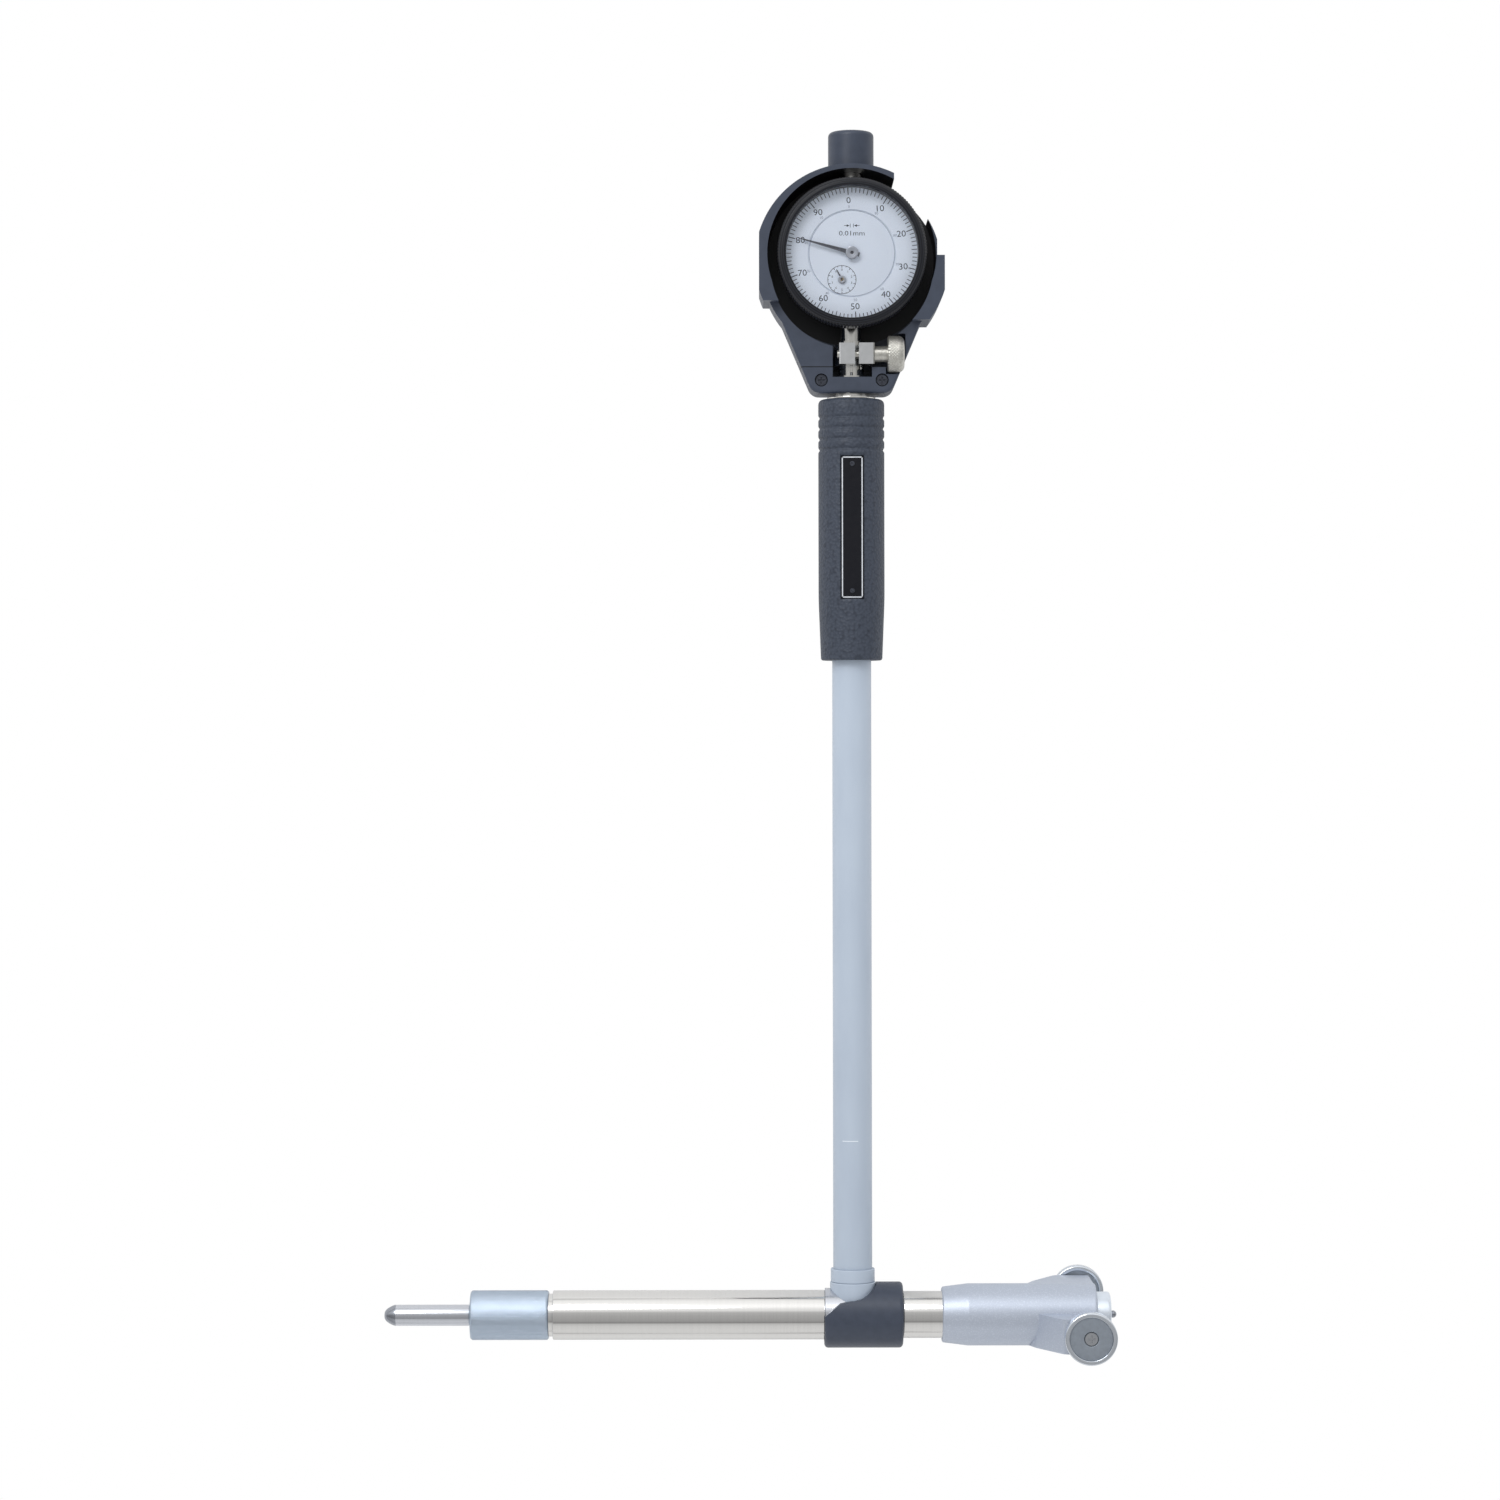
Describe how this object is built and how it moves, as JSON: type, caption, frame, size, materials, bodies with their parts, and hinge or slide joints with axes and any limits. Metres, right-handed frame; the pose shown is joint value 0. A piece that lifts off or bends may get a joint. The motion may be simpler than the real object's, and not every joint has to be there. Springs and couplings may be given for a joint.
{
  "type": "dial bore gauge",
  "caption": "Long-handled dial bore gauge: anvil and sprung contact on a T head, sliding roller guide, bell crank and push rod, clamped dial indicator under a moulded cover.",
  "frame": {"origin": "centre of the bounding box at its lowest face, with the gauge lying on its back", "axes": "+Y up the handle towards the dial, +X along the measuring axis towards the contact ball, +Z out of the dial's face"},
  "size_m": [0.2818, 0.4698, 0.065],
  "materials": {
    "handle_paint": "satin light blue-grey paint",
    "moulded_grey": "matt slate blue-grey moulding",
    "plate_black": "black field with a thin light border",
    "polished_steel": "polished warm nickel-coloured steel",
    "steel": "ground steel",
    "hard_tip": "lapped hard metal",
    "spring_steel": "spring wire",
    "bushes": "turned brass",
    "knurled_steel": "bright diamond knurl",
    "guide_cast": "fine cast silver",
    "roller_rim": "bright rim",
    "roller_disc": "satin grey disc",
    "case_metal": "dark anodised",
    "bezel_black": "black with fine rings",
    "dial_white": "white with printed marks",
    "pointer_dark": "dark grey with a silver hub",
    "crystal_clear": "clear crystal"
  },
  "bodies": {
    "frame": {"anvil_bush": "polished_steel", "anvil_rod": "steel", "anvil_tip": "hard_tip", "anvil_tube": "polished_steel", "back_screws": "steel", "case_back": "case_metal", "cover_plate": "moulded_grey", "cover_screws": "steel", "crank_pin": "steel", "dial_cover": "moulded_grey", "dial_disc": "dial_white", "end_cap": "steel", "grip": "moulded_grey", "grip_washer": "polished_steel", "guide_spring": "spring_steel", "head_tube": "polished_steel", "indicator_case": "case_metal", "indicator_stem": "polished_steel", "lower_bridge": "bushes", "main_tube": "handle_paint", "name_plate": "plate_black", "neck_bush": "polished_steel", "plate_rivets": "steel", "plunger_bush": "bushes", "plunger_spring": "spring_steel", "return_spring": "spring_steel", "rod_bushes": "bushes", "rod_spring": "spring_steel", "stem_cap": "polished_steel", "stem_clamp": "knurled_steel", "stem_collet": "polished_steel", "tee_body": "steel", "tee_sleeve": "moulded_grey", "tube_collar": "handle_paint", "tube_foot": "handle_paint", "upper_bridge": "bushes"},
    "plunger": {"plunger": "steel", "contact_point": "hard_tip"},
    "crank": {"bell_crank": "steel"},
    "rod": {"push_rod": "steel"},
    "spindle": {"spindle": "steel", "guide_pin": "steel", "contact_tip": "steel"},
    "pinion": {"pinion_wheel": "bushes", "counter_pointer": "pointer_dark"},
    "centre": {"centre_arbor": "steel", "main_pointer": "pointer_dark"},
    "take_up": {"take_up_wheel": "bushes"},
    "bezel": {"bezel": "bezel_black", "crystal": "crystal_clear", "dial_ring": "dial_white"},
    "clamp_screw": {"clamp_screw": "knurled_steel"},
    "lock_nut": {"lock_nut": "knurled_steel"},
    "guide": {"guide_body": "guide_cast", "guide_key": "steel", "roller_screws": "steel"},
    "front_roller": {"front_roller_rim": "roller_rim", "front_roller_disc": "roller_disc"},
    "rear_roller": {"rear_roller_rim": "roller_rim", "rear_roller_disc": "roller_disc"}
  },
  "joints": [
    {"name": "contact_slide", "type": "slide", "parent": "frame", "child": "plunger", "axis": [-1, 0, 0], "range_m": [0, 0.0016], "stiffness_N_per_m": 1000, "springref_m": -0.004, "deforming": ["plunger_spring"]},
    {"name": "crank_turn", "type": "hinge", "parent": "frame", "child": "crank", "pos_m": [0.0454, -0.21407, 0.0325], "axis": [0, 0, -1], "range_deg": [0, 15.5]},
    {"name": "rod_slide", "type": "slide", "parent": "frame", "child": "rod", "axis": [0, 1, 0], "range_m": [0, 0.00165], "deforming": ["rod_spring"]},
    {"name": "spindle_slide", "type": "slide", "parent": "frame", "child": "spindle", "axis": [0, 1, 0], "range_m": [0, 0.00165], "deforming": ["return_spring"]},
    {"name": "pinion_turn", "type": "hinge", "parent": "frame", "child": "pinion", "pos_m": [0.0356, 0.17677, 0.0325], "axis": [0, 0, 1], "range_deg": [0, 59]},
    {"name": "centre_turn", "type": "hinge", "parent": "frame", "child": "centre", "pos_m": [0.0394, 0.18682, 0.0325], "axis": [0, 0, 1], "range_deg": [-585, 0]},
    {"name": "take_up_turn", "type": "hinge", "parent": "frame", "child": "take_up", "pos_m": [0.04838, 0.19273, 0.0325], "axis": [0, 0, 1], "range_deg": [0, 59]},
    {"name": "guide_slide", "type": "slide", "parent": "frame", "child": "guide", "axis": [-1, 0, 0], "range_m": [0, 0.006], "stiffness_N_per_m": 500, "springref_m": -0.006, "deforming": ["guide_spring"]},
    {"name": "front_roller_spin", "type": "hinge", "parent": "guide", "child": "front_roller", "pos_m": [0.1285, -0.22493, 0.0625], "axis": [0, 0, 1], "continuous": true},
    {"name": "rear_roller_spin", "type": "hinge", "parent": "guide", "child": "rear_roller", "pos_m": [0.1285, -0.21522, 0.0025], "axis": [0, 0, 1], "continuous": true},
    {"name": "bezel_turn", "type": "hinge", "parent": "frame", "child": "bezel", "pos_m": [0.0394, 0.18682, 0.0475], "axis": [0, 0, 1], "continuous": true},
    {"name": "clamp_screw_turn", "type": "hinge", "parent": "frame", "child": "clamp_screw", "pos_m": [0.0514, 0.14888, 0.0401], "axis": [1, 0, 0], "continuous": true},
    {"name": "lock_nut_turn", "type": "hinge", "parent": "frame", "child": "lock_nut", "pos_m": [-0.0926, -0.22007, 0.0325], "axis": [1, 0, 0], "continuous": true}
  ],
  "couplings": [
    {"joint": "crank_turn", "follows": "contact_slide", "rad_per_m": 166.67},
    {"joint": "rod_slide", "follows": "contact_slide", "ratio": 1},
    {"joint": "spindle_slide", "follows": "contact_slide", "ratio": 1},
    {"joint": "pinion_turn", "follows": "contact_slide", "rad_per_m": 628.32},
    {"joint": "centre_turn", "follows": "contact_slide", "rad_per_m": -6283.2},
    {"joint": "take_up_turn", "follows": "contact_slide", "rad_per_m": 628.32}
  ]
}
